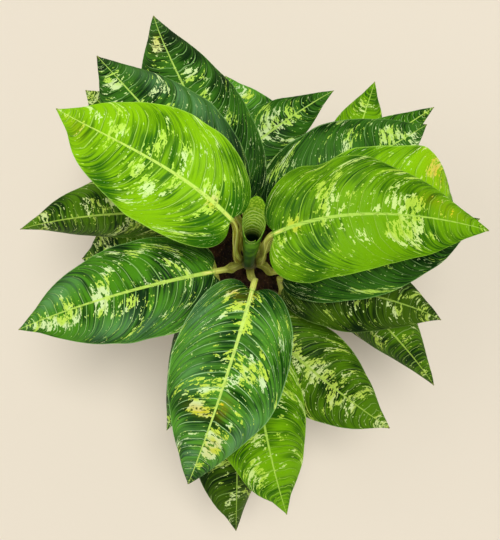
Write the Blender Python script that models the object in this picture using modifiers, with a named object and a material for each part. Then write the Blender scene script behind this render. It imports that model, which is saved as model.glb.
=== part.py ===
"""A dieffenbachia, or dumb cane, in a plain clay pot: five canes, 22 leaves and one leaf still rolled.

The origin is the middle of the pot's base, on the surface it stands on. +Z is up, and +Y is the back.
Each leaf is one piece, stalk and blade, and stops a small gap short of the cane that carries it.
"""
from math import atan2, cos, pi, radians, sin, tau
from typing import NamedTuple

import bmesh
import bpy
from mathutils import Quaternion, Vector

MM = 0.001
GAP = 0.0003
CUT_BEYOND = 0.002
UP = Vector((0, 0, 1))

# The pot, from the surface it stands on
POT_HEIGHT = 0.145
POT_BASE_RADIUS = 0.056
POT_TOP_RADIUS = 0.080
POT_WALL = 0.005
POT_FLOOR = 0.007
POT_CHAMFER = 0.002
POT_CORNER = 0.003
RIM_HEIGHT = 0.026
RIM_STEP = 0.004
RIM_FOOT = POT_HEIGHT - RIM_HEIGHT
POT_SIDES = 32
DRAIN_HOLES = 4
DRAIN_RADIUS = 0.005
DRAIN_CIRCLE = 0.030

# The soil
SOIL_LEVEL = 0.122
SOIL_CROWN = 0.006
SOIL_CROWN_PROFILE = ((0.0, 1.0), (0.45, 0.8), (0.8, 0.3), (1.0, 0.0))
SOIL_BOTTOM = POT_FLOOR + GAP
SOIL_CORNER = 0.005

# The canes
CANE_SIDES = 12

# The stalks of the leaves
STALK_HALF_WIDTH = 0.0040
STALK_HALF_DEPTH = 0.0028
FOOT_HALF_WIDTH = 0.0050
FOOT_HALF_DEPTH = 0.0060
STALK_STEPS = 7
FOOT_HANDLE = 0.4
JOINT_HANDLE = 0.3
TURN_UP_BY = 0.3
ARRIVAL_LIFT = 0.9

# The blades of the leaves
BLADE_STATIONS = (0.01, 0.035, 0.08, 0.14, 0.21, 0.29, 0.37, 0.46, 0.55, 0.64, 0.72, 0.79, 0.85, 0.9, 0.95, 1)
BASE_FULLNESS = 2.4
SHOULDER = 0.88
TAIL = 1.8
LOBE = 0.045
LOBE_CURVE = 1.3
TURN_SHARE = 0.3
HALF_ARCH = radians(16)
BLADE_THICKNESS = 0.0009
MIDRIB_THICKNESS = 0.0030
TIP_HALF_WIDTH = 0.0006

# The rolled leaf, from its foot at the top of the main cane
ROLL_FOOT = (-0.002, 0.001, 0.2885)
ROLL_LEAN = (0.067, 0.46, 0.886)
ROLL_FRONT = 0.062
ROLL_BACK = 0.114
ROLL_FOOT_RADIUS = 0.0055
ROLL_MOUTH_RADIUS = 0.0116
ROLL_TURNS = 1.15
ROLL_PITCH = 0.0022
ROLL_THICKNESS = 0.0008
ROLL_STEPS = 8
ROLL_SEGMENTS = 20


class Leaf(NamedTuple):
    """A leaf, in millimetres and degrees.

    height is where on its cane the stalk leaves it. joint is where the blade begins and tip where it ends.
    left and right are how far each half of the blade is tilted up from level, seen from the joint. rise is
    how steeply the midrib leaves the joint and droop how steeply it comes down at the tip. bow and hook are
    how far its two ends turn aside from the straight line between them, each to the left. taper says how soon
    the blade narrows, where less is blunter, and widest how far along it is widest. lift is how steeply the
    stalk climbs, and turn how far round the cane its foot sits from the joint's side, counter-clockwise.
    """

    height: float
    joint: tuple
    tip: tuple
    half_width: float
    left: float
    right: float
    rise: float
    droop: float
    bow: float
    hook: float
    taper: float = 0.8
    widest: float = 0.37
    lift: float = 1.1
    turn: float = 0.0
    light: bool = False


class Shoot(NamedTuple):
    """A cane with its leaves: its route up from inside the soil, and its radius at foot and top.

    All of it is in millimetres.
    """

    name: str
    route: list
    foot_radius: float
    top_radius: float
    leaves: list


MAIN_LEAVES = [
    Leaf(277, (-18, 41, 385), (-197, 156, 345), 60, -8, -8, 14, 34, -14, 0, 0.75, 0.37, 3, 50, True),
    Leaf(264, (23, 27, 385), (243, 32, 345), 60, -12, -2, 12, 30, 24, 14, 0.8, 0.2, 3, -45, True),
    Leaf(242, (66, 50, 347), (217, 62, 297), 59, -4, -12, 20, 84, 8, 8, 0.45, light=True),
    Leaf(176, (-10, 62, 320), (-108, 277, 252), 55, 0, -20, 22, 46, 0, 8, 0.9),
    Leaf(204, (-22, 58, 352), (-163, 220, 302), 61, -4, -24, 18, 42, -2, 0, 0.85),
    Leaf(252, (2, -29, 345), (-69, -246, 260), 61, -6, -6, 20, 52, 3, 3, 1.1),
    Leaf(228, (-39, -10, 325), (-260, -75, 250), 54, -6, -18, 18, 40, -6, -6),
    Leaf(214, (37, -8, 292), (256, 49, 258), 51, -8, -6, 18, 42, 0, -6),
    Leaf(190, (24, 54, 272), (203, 159, 228), 58, -6, -8, 16, 44, -3, -3, 0.7, 0.3),
]

BACK_LEFT_LEAVES = [
    Leaf(206, (-61, 53, 270), (-266, 39, 220), 48, -58, -20, 18, 40, -8, -8),
    Leaf(186, (-40, 95, 254), (97, 200, 217), 34, -6, -6, 18, 36, 4, 4, 0.9),
    Leaf(162, (-62, 86, 232), (-193, 203, 205), 54, -8, -8, 18, 40, 0, 0),
]

BACK_RIGHT_LEAVES = [
    Leaf(188, (92, 54, 240), (148, 215, 195), 37, -8, -8, 18, 40, 2, 2, light=True),
    Leaf(170, (57, 74, 243), (217, 184, 200), 34, -8, -8, 18, 40, 0, 0, 1),
    Leaf(152, (32, 91, 230), (-29, 223, 190), 45, -8, -8, 18, 40, 0, 0),
]

FRONT_LEFT_LEAVES = [
    Leaf(184, (2, -90, 275), (43, -293, 212), 53, -24, 0, 18, 40, -5, -5, 0.65, light=True),
    Leaf(170, (-66, 24, 200), (-207, 6, 152), 52, -8, -8, 18, 50, 0, 0, 0.6),
    Leaf(158, (-53, -43, 225), (-103, -206, 150), 42, -8, -56, 18, 50, 0, 0),
    Leaf(148, (-12, -135, 220), (-17, -326, 165), 54, -50, 0, 18, 40, 0, 0),
]

FRONT_RIGHT_LEAVES = [
    Leaf(202, (42, -19, 276), (222, -66, 215), 47, -8, -8, 18, 40, 8, 12, 1),
    Leaf(186, (70, 1, 240), (223, -148, 170), 48, -18, -46, 18, 40, 8, 8, 1),
    Leaf(170, (13, -70, 248), (167, -197, 185), 50, -10, -8, 18, 40, -4, -4, 0.9),
]

MAIN_ROUTE = [(0, 0, 75), (0, 0, 130), (1, 2, 200), (-2, 0, 284)]
BACK_LEFT_ROUTE = [(-38, 32, 75), (-38, 32, 130), (-42, 35, 165), (-45, 38, 212)]
BACK_RIGHT_ROUTE = [(32, 26, 75), (32, 26, 130), (40, 34, 165), (44, 42, 192)]
FRONT_LEFT_ROUTE = [(-26, -32, 75), (-26, -32, 130), (-30, -38, 150), (-35, -47, 190)]
FRONT_RIGHT_ROUTE = [(28, -40, 75), (28, -40, 130), (32, -43, 165), (36, -44, 208)]

SHOOTS = [
    Shoot("main", MAIN_ROUTE, 9.5, 7.0, MAIN_LEAVES),
    Shoot("back_left", BACK_LEFT_ROUTE, 7.5, 6.0, BACK_LEFT_LEAVES),
    Shoot("back_right", BACK_RIGHT_ROUTE, 7.5, 6.0, BACK_RIGHT_LEAVES),
    Shoot("front_left", FRONT_LEFT_ROUTE, 7.0, 5.5, FRONT_LEFT_LEAVES),
    Shoot("front_right", FRONT_RIGHT_ROUTE, 7.5, 6.0, FRONT_RIGHT_LEAVES),
]


def clear_scene():
    for item in list(bpy.data.objects):
        bpy.data.objects.remove(item, do_unlink=True)


def new_collection(name):
    collection = bpy.data.collections.new(name)
    bpy.context.scene.collection.children.link(collection)
    return collection


def make_material(name, colour, roughness):
    material = bpy.data.materials.new(name)
    material.use_nodes = True
    shader = material.node_tree.nodes["Principled BSDF"]
    shader.inputs["Base Color"].default_value = (*colour, 1.0)
    shader.inputs["Roughness"].default_value = roughness
    shader.inputs["Metallic"].default_value = 0.0
    return material


def add_object(name, data, collection, material=None):
    item = bpy.data.objects.new(name, data)
    if material:
        data.materials.append(material)
    collection.objects.link(item)
    return item


def smooth(mesh, sharpest=45):
    mesh.shade_smooth()
    mesh.set_sharp_from_angle(angle=radians(sharpest))


def screw_object(name, profile, collection, material, sides=POT_SIDES):
    """A turned shape: (radius, height) points down its outer side, turned about Z."""
    mesh = bpy.data.meshes.new(name)
    points = [(radius, 0, height) for radius, height in profile]
    edges = [(i, i + 1) for i in range(len(points) - 1)]
    mesh.from_pydata(points, edges, [])
    item = add_object(name, mesh, collection, material)
    turn = item.modifiers.new("turn", "SCREW")
    turn.steps = sides
    turn.render_steps = sides
    turn.use_merge_vertices = True
    turn.merge_threshold = 0.00001
    turn.use_smooth_shade = True
    return item


def cut(item, cutter):
    cutter.hide_render = True
    cutter.display_type = "WIRE"
    boolean = item.modifiers.new(cutter.name, "BOOLEAN")
    boolean.operation = "DIFFERENCE"
    boolean.object = cutter


def cylinder_cutter(name, centre, radius, bottom, top, collection, sides=16):
    """An upright cylinder that holds a circle of the given radius within its flat sides."""
    shape = bmesh.new()
    outer = radius / cos(pi / sides)
    bmesh.ops.create_cone(
        shape, cap_ends=True, segments=sides, radius1=outer, radius2=outer, depth=top - bottom
    )
    bmesh.ops.translate(shape, verts=shape.verts, vec=(centre[0], centre[1], (top + bottom) / 2))
    mesh = bpy.data.meshes.new(name)
    shape.to_mesh(mesh)
    shape.free()
    return add_object(name, mesh, collection)


def bezier(points, t):
    """The point at t on a cubic curve with four control points."""
    a, b, c, d = points
    s = 1 - t
    return a * s**3 + b * (3 * s * s * t) + c * (3 * s * t * t) + d * t**3


def bezier_slope(points, t):
    a, b, c, d = points
    s = 1 - t
    return ((b - a) * (3 * s * s) + (c - b) * (6 * s * t) + (d - c) * (3 * t * t)).normalized()


def ease(t):
    t = min(max(t, 0.0), 1.0)
    return t * t * (3 - 2 * t)


def pot_wall_radius(height):
    """The outer radius of the tapered wall at a height."""
    return POT_BASE_RADIUS + (POT_TOP_RADIUS - POT_BASE_RADIUS) * height / POT_HEIGHT


def make_pot(collection, cutters):
    clay = make_material("clay", (0.52, 0.22, 0.12), 0.85)
    rim_foot_radius = pot_wall_radius(RIM_FOOT)
    outside = [
        (POT_TOP_RADIUS - POT_WALL, POT_HEIGHT),
        (POT_TOP_RADIUS + RIM_STEP - POT_CHAMFER, POT_HEIGHT),
        (POT_TOP_RADIUS + RIM_STEP, POT_HEIGHT - POT_CHAMFER),
        (rim_foot_radius + RIM_STEP, RIM_FOOT + POT_CHAMFER),
        (rim_foot_radius + RIM_STEP - POT_CHAMFER, RIM_FOOT),
        (rim_foot_radius, RIM_FOOT - POT_CHAMFER),
        (pot_wall_radius(POT_CHAMFER), POT_CHAMFER),
        (POT_BASE_RADIUS - POT_CHAMFER, 0.0),
        (0.0, 0.0),
    ]
    inside = [
        (0.0, POT_FLOOR),
        (pot_wall_radius(POT_FLOOR) - POT_WALL - POT_CORNER, POT_FLOOR),
        (pot_wall_radius(POT_FLOOR + POT_CORNER) - POT_WALL, POT_FLOOR + POT_CORNER),
        (POT_TOP_RADIUS - POT_WALL, POT_HEIGHT),
    ]
    pot = screw_object("pot", outside + inside, collection, clay)
    for i in range(DRAIN_HOLES):
        angle = tau * (i + 0.5) / DRAIN_HOLES
        centre = (DRAIN_CIRCLE * cos(angle), DRAIN_CIRCLE * sin(angle))
        name = f"drain_cutter_{i + 1}"
        cut(pot, cylinder_cutter(name, centre, DRAIN_RADIUS, -CUT_BEYOND, POT_FLOOR + CUT_BEYOND, cutters))


def make_soil(collection, cutters):
    soil = make_material("soil", (0.035, 0.022, 0.015), 0.95)
    top_radius = pot_wall_radius(SOIL_LEVEL) - POT_WALL - 2 * GAP
    corner_level = POT_FLOOR + SOIL_CORNER
    corner_radius = pot_wall_radius(corner_level) - POT_WALL - 2 * GAP
    profile = [(top_radius * out, SOIL_LEVEL + SOIL_CROWN * up) for out, up in SOIL_CROWN_PROFILE]
    profile += [
        (corner_radius, corner_level),
        (corner_radius - SOIL_CORNER, SOIL_BOTTOM),
        (0.0, SOIL_BOTTOM),
    ]
    item = screw_object("soil", profile, collection, soil)
    for shoot in SHOOTS:
        x, y, foot = (place * MM for place in shoot.route[0])
        name = f"{shoot.name}_cutter"
        radius = shoot.foot_radius * MM + GAP
        cut(item, cylinder_cutter(name, (x, y), radius, foot - GAP, POT_HEIGHT, cutters))


def make_cane(shoot, collection, material):
    """A tapering cane: a curve through the route, made a mesh with its caps joined on."""
    name = f"{shoot.name}_cane"
    curve = bpy.data.curves.new(name, "CURVE")
    curve.dimensions = "3D"
    curve.bevel_depth = shoot.foot_radius * MM
    curve.bevel_resolution = CANE_SIDES // 2 - 2
    curve.use_fill_caps = True
    spline = curve.splines.new("POLY")
    spline.points.add(len(shoot.route) - 1)
    for i, (point, place) in enumerate(zip(spline.points, shoot.route)):
        point.co = (*(Vector(place) * MM), 1.0)
        share = i / (len(shoot.route) - 1)
        point.radius = 1 + (shoot.top_radius / shoot.foot_radius - 1) * share
    guide = add_object(name + "_guide", curve, collection)
    bpy.context.view_layer.update()
    evaluated = guide.evaluated_get(bpy.context.evaluated_depsgraph_get())
    mesh = bpy.data.meshes.new_from_object(evaluated)
    bpy.data.objects.remove(guide, do_unlink=True)
    shape = bmesh.new()
    shape.from_mesh(mesh)
    bmesh.ops.remove_doubles(shape, verts=shape.verts, dist=0.00001)
    shape.to_mesh(mesh)
    shape.free()
    mesh.materials.clear()
    smooth(mesh)
    add_object(name, mesh, collection, material)


def cane_at(shoot, height):
    """The middle of a cane at a height, and its radius there, in metres."""
    route = [Vector(place) * MM for place in shoot.route]
    height *= MM
    for i, (low, high) in enumerate(zip(route, route[1:])):
        if height <= high.z or high is route[-1]:
            share = (height - low.z) / (high.z - low.z)
            along = (i + share) / (len(route) - 1)
            radius = shoot.foot_radius + (shoot.top_radius - shoot.foot_radius) * along
            return low.lerp(high, share), radius * MM


def base_outline(u, widest):
    """The rounded base of the blade: from 0 at the joint to 1 where the blade is widest."""
    return (1 - (1 - min(u / widest, 1.0)) ** BASE_FULLNESS) ** (1 / BASE_FULLNESS)


def outline(leaf, u):
    """How wide the blade is at u, from 0 at its base to 1 at its tip, as a share of its widest.

    Past its widest place the blade closes in at the shoulder, and a thin tail runs on to the tip.
    """
    if u < leaf.widest:
        return base_outline(u, leaf.widest)
    closing = min((u - leaf.widest) / (SHOULDER - leaf.widest), 1.0)
    body = max(cos(pi / 2 * closing), 0.0) ** leaf.taper
    tail = TAIL * (1 - u) * ease(closing)
    return (body**3 + tail**3) ** (1 / 3)


def lobe_shift(leaf, u):
    """How far the margin lies behind the midrib at u, where the blade's base bulges back beside the stalk."""
    share = base_outline(u, leaf.widest)
    return LOBE * 4 * share * (1 - share)


def half_section(tilt, t):
    """A point on one half of the blade's cross-section, as shares of its width: how far out and how far up.

    The half is an arc: it leaves the midrib steeper than its tilt and comes down to the margin.
    """
    start = tilt + HALF_ARCH
    end = start - 2 * HALF_ARCH * t
    across = (sin(start) - sin(end)) / (2 * HALF_ARCH)
    upward = (cos(end) - cos(start)) / (2 * HALF_ARCH)
    return across, upward


def midrib_curve(leaf):
    """The control points of the midrib's curve, in metres."""
    joint = Vector(leaf.joint) * MM
    tip = Vector(leaf.tip) * MM
    reach = tip - joint
    heading = atan2(reach.y, reach.x)
    handle = reach.length / 3

    def direction(turn, lift):
        return Vector((cos(heading + turn) * cos(lift), sin(heading + turn) * cos(lift), sin(lift)))

    start = direction(radians(leaf.bow), radians(leaf.rise))
    end = direction(-radians(leaf.hook), -radians(leaf.droop))
    return joint, joint + start * handle, tip - end * handle, tip


def level_side(slope):
    """The level direction to the right of a slope."""
    return slope.cross(UP).normalized()


def blade_ring(leaf, curve, u):
    """The cross-section of the blade at u: left margin, over the top to the right margin, and back below.

    The sections turn with the midrib's bend by TURN_SHARE only, so the margins stay even where it bends.
    """
    centre = bezier(curve, u)
    slope = bezier_slope(curve, u)
    reach = curve[3] - curve[0]
    length = reach.length
    side = level_side(reach.normalized().lerp(slope, TURN_SHARE))
    normal = side.cross(slope).normalized()
    width = max(leaf.half_width * MM * outline(leaf, u), TIP_HALF_WIDTH)
    plate = min(BLADE_THICKNESS, width)
    rib = min(MIDRIB_THICKNESS * (1 - u) + BLADE_THICKNESS * u, width)

    def surface(t, depth):
        tilt = radians(leaf.right if t > 0 else leaf.left)
        across, upward = half_section(tilt, abs(t))
        back = lobe_shift(leaf, u) * length * abs(t) ** LOBE_CURVE
        return (
            centre
            + side * (width * across * (1 if t > 0 else -1))
            + normal * (width * upward - depth)
            - slope * back
        )

    top = [surface(t, 0.0) for t in (-1, -0.5, 0, 0.5, 1)]
    below = [surface(0.5, plate), surface(0, rib), surface(-0.5, plate)]
    return top + below


def stalk_ring(centre, side, normal, half_width, half_depth):
    """An eight-sided cross-section of the stalk, in the same order as a blade's."""
    ring = []
    for i in range(8):
        angle = pi - i * pi / 4
        ring.append(centre + side * (half_width * cos(angle)) + normal * (half_depth * sin(angle)))
    return ring


def stalk_foot(leaf, shoot):
    """Where the stalk begins, a gap short of the cane, and the level direction it sets out in."""
    middle, _ = cane_at(shoot, leaf.height)
    outward = (Vector(leaf.joint) * MM - middle) * Vector((1, 1, 0))
    outward.normalize()
    outward.rotate(Quaternion(UP, radians(leaf.turn)))
    stand_off = 0
    for height in (leaf.height - FOOT_HALF_DEPTH / MM, leaf.height, leaf.height + FOOT_HALF_DEPTH / MM):
        place, radius = cane_at(shoot, height)
        stand_off = max(stand_off, (place - middle).dot(outward) + radius)
    return middle + outward * (stand_off + GAP), outward


def stalk_rings(leaf, shoot, blade_curve):
    """The stalk's rings, from its foot on the cane to the blade's joint."""
    foot, outward = stalk_foot(leaf, shoot)
    joint, blade_start = blade_curve[0], bezier_slope(blade_curve, 0)
    reach = (joint - foot).length
    foot_handle = foot + (outward + UP * leaf.lift).normalized() * reach * FOOT_HANDLE
    arrival = (blade_start + UP * (leaf.lift - 1) * ARRIVAL_LIFT).normalized()
    curve = (foot, foot_handle, joint - arrival * reach * JOINT_HANDLE, joint)
    foot_side = level_side(outward)
    joint_side = level_side(blade_start)
    rings = []
    for i in range(STALK_STEPS):
        t = i / STALK_STEPS
        slope = outward.lerp(bezier_slope(curve, t), ease(t / TURN_UP_BY)).normalized()
        side = foot_side.lerp(joint_side, ease(t))
        side = (side - slope * side.dot(slope)).normalized()
        normal = side.cross(slope)
        flare = (1 - t) ** 3
        half_width = STALK_HALF_WIDTH + (FOOT_HALF_WIDTH - STALK_HALF_WIDTH) * flare
        half_depth = STALK_HALF_DEPTH + (FOOT_HALF_DEPTH - STALK_HALF_DEPTH) * flare
        rings.append(stalk_ring(bezier(curve, t), side, normal, half_width, half_depth))
    return rings


def loft(name, rings, collection, material):
    """A closed solid through a row of rings, with a flat face at each end."""
    count = len(rings[0])
    points = [point for ring in rings for point in ring]
    faces = [tuple(reversed(range(count)))]
    for i in range(len(rings) - 1):
        for j in range(count):
            k = (j + 1) % count
            faces.append((i * count + j, i * count + k, (i + 1) * count + k, (i + 1) * count + j))
    last = (len(rings) - 1) * count
    faces.append(tuple(range(last, last + count)))
    mesh = bpy.data.meshes.new(name)
    mesh.from_pydata(points, [], faces)
    smooth(mesh, 60)
    return add_object(name, mesh, collection, material)


def make_leaf(name, leaf, shoot, collection, material):
    curve = midrib_curve(leaf)
    joint_side = level_side(bezier_slope(curve, 0))
    joint_normal = joint_side.cross(bezier_slope(curve, 0))
    rings = stalk_rings(leaf, shoot, curve)
    rings.append(stalk_ring(curve[0], joint_side, joint_normal, STALK_HALF_WIDTH, STALK_HALF_DEPTH))
    rings += [blade_ring(leaf, curve, u) for u in BLADE_STATIONS]
    loft(name, rings, collection, material)


def make_rolled_leaf(collection, material):
    """A leaf still rolled: a spiral sheet that widens to a slanting mouth, low in front and tall behind."""
    foot = Vector(ROLL_FOOT)
    axis = Vector(ROLL_LEAN).normalized()
    side = level_side(axis)
    front = side.cross(axis)
    points = []
    for i in range(ROLL_STEPS + 1):
        t = i / ROLL_STEPS
        for j in range(ROLL_SEGMENTS + 1):
            wound = ROLL_TURNS * (j / ROLL_SEGMENTS - 0.5)
            angle = tau * wound - pi / 2
            radius = ROLL_FOOT_RADIUS + (ROLL_MOUTH_RADIUS - ROLL_FOOT_RADIUS) * t + ROLL_PITCH * wound
            reach = ROLL_FRONT + (ROLL_BACK - ROLL_FRONT) * (1 - sin(angle)) / 2
            ring = side * (radius * cos(angle)) + front * (radius * sin(angle))
            points.append(foot + axis * (reach * t) + ring)
    row = ROLL_SEGMENTS + 1
    faces = []
    for i in range(ROLL_STEPS):
        for j in range(ROLL_SEGMENTS):
            k = i * row + j
            faces.append((k, k + 1, k + row + 1, k + row))
    mesh = bpy.data.meshes.new("rolled_leaf")
    mesh.from_pydata(points, [], faces)
    smooth(mesh, 60)
    roll = add_object("rolled_leaf", mesh, collection, material)
    shell = roll.modifiers.new("thickness", "SOLIDIFY")
    shell.thickness = ROLL_THICKNESS
    shell.offset = 0.0


def main():
    clear_scene()
    plant = new_collection("potted_dieffenbachia")
    cutters = new_collection("cutters")
    make_pot(plant, cutters)
    make_soil(plant, cutters)
    cane_green = make_material("cane_green", (0.22, 0.26, 0.08), 0.6)
    leaf_dark = make_material("leaf_dark", (0.02, 0.12, 0.02), 0.45)
    leaf_light = make_material("leaf_light", (0.20, 0.45, 0.02), 0.45)
    for shoot in SHOOTS:
        make_cane(shoot, plant, cane_green)
        for i, leaf in enumerate(shoot.leaves):
            green = leaf_light if leaf.light else leaf_dark
            make_leaf(f"{shoot.name}_leaf_{i + 1}", leaf, shoot, plant, green)
    make_rolled_leaf(plant, leaf_light)


main()
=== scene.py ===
"""Looks for the potted dieffenbachia: mottled leaves, ringed canes, crumbly soil and a clay pot.

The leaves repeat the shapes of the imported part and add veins, pleats and wavy margins. +Z is up, and the camera
looks straight down with +Y to the top of the picture.
"""

from math import pi, radians, tau
from typing import NamedTuple

import bpy
import numpy as np
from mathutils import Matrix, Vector, noise

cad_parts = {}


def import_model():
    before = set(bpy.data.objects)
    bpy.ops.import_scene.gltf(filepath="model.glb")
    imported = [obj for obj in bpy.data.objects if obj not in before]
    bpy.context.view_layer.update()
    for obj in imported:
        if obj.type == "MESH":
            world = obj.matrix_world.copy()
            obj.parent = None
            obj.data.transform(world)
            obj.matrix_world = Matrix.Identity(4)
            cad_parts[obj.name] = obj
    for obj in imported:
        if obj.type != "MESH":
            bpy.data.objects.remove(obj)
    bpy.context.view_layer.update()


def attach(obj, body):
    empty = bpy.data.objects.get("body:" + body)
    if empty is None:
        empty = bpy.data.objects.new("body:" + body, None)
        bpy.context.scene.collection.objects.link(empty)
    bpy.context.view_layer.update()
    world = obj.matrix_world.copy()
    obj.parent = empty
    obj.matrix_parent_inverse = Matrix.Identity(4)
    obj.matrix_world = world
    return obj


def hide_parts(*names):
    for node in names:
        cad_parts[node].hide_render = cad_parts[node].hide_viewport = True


MM = 0.001
UP = np.array((0.0, 0.0, 1.0))

# The stalks, on the part's routes and a little slimmer
GAP = 0.0003
CRISP_FOLD = radians(60)
STALK_HALF_WIDTH = 0.0031
STALK_HALF_DEPTH = 0.0025
FOOT_HALF_WIDTH = 0.0045
FOOT_HALF_DEPTH = 0.0058
STALK_RIDGES = 9
STALK_RIDGE_HEIGHT = 0.00022
FOOT_HANDLE = 0.4
JOINT_HANDLE = 0.3
TURN_UP_BY = 0.3
ARRIVAL_LIFT = 0.9

# The blades, as in the part
BASE_FULLNESS = 2.4
SHOULDER = 0.88
TAIL = 1.8
LOBE = 0.045
LOBE_CURVE = 1.3
TURN_SHARE = 0.3
HALF_ARCH = radians(16)
MIDRIB_THICKNESS = 0.0030
TIP_HALF_WIDTH = 0.0006

# The finer mesh and relief of a leaf
ROWS = 150
ROW_CROWDING = 1.6
STALK_ROWS = 30
COLUMNS = 32
COLUMN_CROWDING = 1.4
PLATE_THICKNESS = 0.0008
VEIN_SPACING = 0.0110
VEIN_RISE = 0.08
VEIN_SWEEP = 0.25
VEIN_CURVE = 3.2
PLEAT_HEIGHT = 0.0009
MARGIN_WAVE = 0.0032
RAGGEDNESS = 0.014
RIB_HEIGHT = 0.0012
RIB_REACH = 0.0020
TROUGH_DEPTH = 0.0013
TROUGH_REACH = 0.009

# The rolled leaf, as in the part
ROLL_FOOT = (-0.002, 0.001, 0.2885)
ROLL_LEAN = (0.067, 0.46, 0.886)
ROLL_FRONT = 0.062
ROLL_BACK = 0.114
ROLL_FOOT_RADIUS = 0.0055
ROLL_MOUTH_RADIUS = 0.0116
ROLL_TURNS = 1.15
ROLL_PITCH = 0.0022
ROLL_THICKNESS = 0.0008
ROLL_ROWS = 60
ROLL_COLUMNS = 120

# The canes
CANE_SIDES = 28
CANE_STEP = 0.0012
CANE_RING_SPACING = 0.013
CANE_RING_HEIGHT = 0.0007

# The pot and the soil, as in the part
POT_HEIGHT = 0.145
POT_BASE_RADIUS = 0.056
POT_TOP_RADIUS = 0.080
POT_WALL = 0.005
POT_FLOOR = 0.007
RIM_HEIGHT = 0.026
RIM_STEP = 0.004
POT_ROUNDING = 0.0018
POT_SIDES = 144
DRAIN_HOLES = 4
DRAIN_RADIUS = 0.005
DRAIN_CIRCLE = 0.030
SOIL_LEVEL = 0.122
SOIL_CROWN = 0.006
SOIL_FOOT = 0.012
SOIL_CORNER = 0.005
SOIL_RINGS = 72
SOIL_SIDES = 300
CLOD_SIZE = 0.007
CLOD_HEIGHT = 0.0032

# The camera and the room
CAMERA_PLACE = (0.0, -0.008, 1.25)
SENSOR_WIDTH = 36.0
LENS = 64.08
FLOOR_SIZE = 12.0
CELL_SHIFT = 0.23
SKY_AT_HORIZON = 0.7
SKY_OVERHEAD = 0.25


class Leaf(NamedTuple):
    """A leaf, in millimetres and degrees: the same numbers as in the part, and how it looks.

    tone names its greens, mottle is how much of it is blotched, and sheath is how far the wings of its stalk
    stand out. marks are extra blotches, tints warm patches, ruffles waves of the margin and painted_sheens
    pale patches of painted sheen, each as (along, across, length, width, strength).
    """

    height: float
    joint: tuple
    tip: tuple
    half_width: float
    left: float
    right: float
    rise: float
    droop: float
    bow: float
    hook: float
    taper: float = 0.8
    widest: float = 0.37
    lift: float = 1.1
    turn: float = 0.0
    tone: str = "deep"
    mottle: float = 0.5
    sheath: float = 1.5
    marks: tuple = ()
    tints: tuple = ()
    ruffles: tuple = ()
    painted_sheens: tuple = ()


class Shoot(NamedTuple):
    """A cane with its leaves: its route up from inside the soil and its radius at foot and top, in millimetres."""

    name: str
    route: list
    foot_radius: float
    top_radius: float
    leaves: list


LEAF_1_MARKS = ((0.62, 0.2, 0.07, 0.15, 0.9), (0.44, 0.3, 0.07, 0.2, 0.9), (0.51, -0.3, 0.08, 0.25, 0.7),
                (0.54, -0.75, 0.06, 0.15, 0.8), (0.12, 0.0, 0.04, 0.14, 1.2), (0.28, 0.5, 0.08, 0.3, 0.5))
LEAF_1_TINTS = ((0.84, -0.35, 0.08, 0.35, 0.8), (0.12, 0.0, 0.04, 0.12, 0.5))
LEAF_1_RUFFLES = ((0.76, -1.0, 0.12, 0.5, 3),)
LEAF_2_MARKS = ((0.62, -0.35, 0.06, 0.25, 1.1), (0.5, -0.3, 0.08, 0.3, 0.9), (0.1, 0.0, 0.04, 0.14, 1.2),
                (0.33, 0.3, 0.07, 0.25, 0.9), (0.55, 0.4, 0.06, 0.25, 0.9), (0.2, -0.5, 0.08, 0.4, 0.6),
                (0.03, 0.5, 0.03, 0.3, 0.9))
LEAF_2_TINTS = ((0.8, -0.4, 0.07, 0.3, 0.7), (0.7, -0.5, 0.05, 0.2, 0.7), (0.1, 0.0, 0.04, 0.12, 0.4))
LEAF_2_RUFFLES = ((0.22, -1.0, 0.06, 0.5, -4), (0.42, -1.0, 0.09, 0.5, 5))
LEAF_3_MARKS = ((0.75, -0.7, 0.15, 0.35, 1.2), (0.3, -0.8, 0.1, 0.3, 0.5))
LEAF_3_TINTS = ((0.72, -0.7, 0.12, 0.4, 0.8),)
LEAF_3_RUFFLES = ((0.66, -1.0, 0.13, 0.6, 7), (0.3, -1.0, 0.12, 0.6, 2))
LEAF_4_MARKS = ((0.8, -0.35, 0.05, 0.22, 1.3), (0.44, 0.35, 0.12, 0.3, 0.4), (0.6, 0.1, 0.1, 0.3, 0.2))
LEAF_4_TINTS = ((0.8, -0.35, 0.06, 0.3, 0.4),)
LEAF_5_MARKS = ((0.72, -0.4, 0.08, 0.3, 1.0), (0.55, 0.1, 0.08, 0.25, 0.5), (0.36, 0.4, 0.04, 0.2, 0.6))
# Painted sheen on main leaf 5: a pale patch where lamps would glint on its gloss.
LEAF_5_PAINTED_SHEENS = ((0.5, 0.7, 0.25, 0.3, 0.7),)
LEAF_6_MARKS = ((0.07, 0.4, 0.03, 0.4, 1.0), (0.13, -0.05, 0.05, 0.2, 1.6), (0.3, -0.62, 0.1, 0.12, 0.7),
                (0.33, -0.34, 0.06, 0.2, 0.6), (0.41, 0.35, 0.05, 0.25, 1.1), (0.54, 0.4, 0.04, 0.3, 0.9),
                (0.7, -0.28, 0.08, 0.24, 2.6), (0.5, -0.45, 0.08, 0.15, 0.3), (0.84, -0.2, 0.03, 0.2, 1.2))
LEAF_6_TINTS = ((0.0, 0.0, 0.03, 0.2, 1.2), (0.05, 0.35, 0.02, 0.3, 0.7), (0.5, -0.14, 0.05, 0.1, 1.2),
                (0.54, 0.3, 0.03, 0.3, 0.6), (0.7, -0.28, 0.08, 0.3, 0.4))
# Painted sheen on main leaf 6: pale patches at its edges and tip where lamps would glint.
LEAF_6_PAINTED_SHEENS = ((0.16, 0.85, 0.08, 0.25, 0.9), (0.62, -0.85, 0.16, 0.25, 1.0), (0.8, 0.4, 0.14, 0.4, 0.8),
                 (0.4, 0.6, 0.1, 0.3, 0.4))
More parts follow.
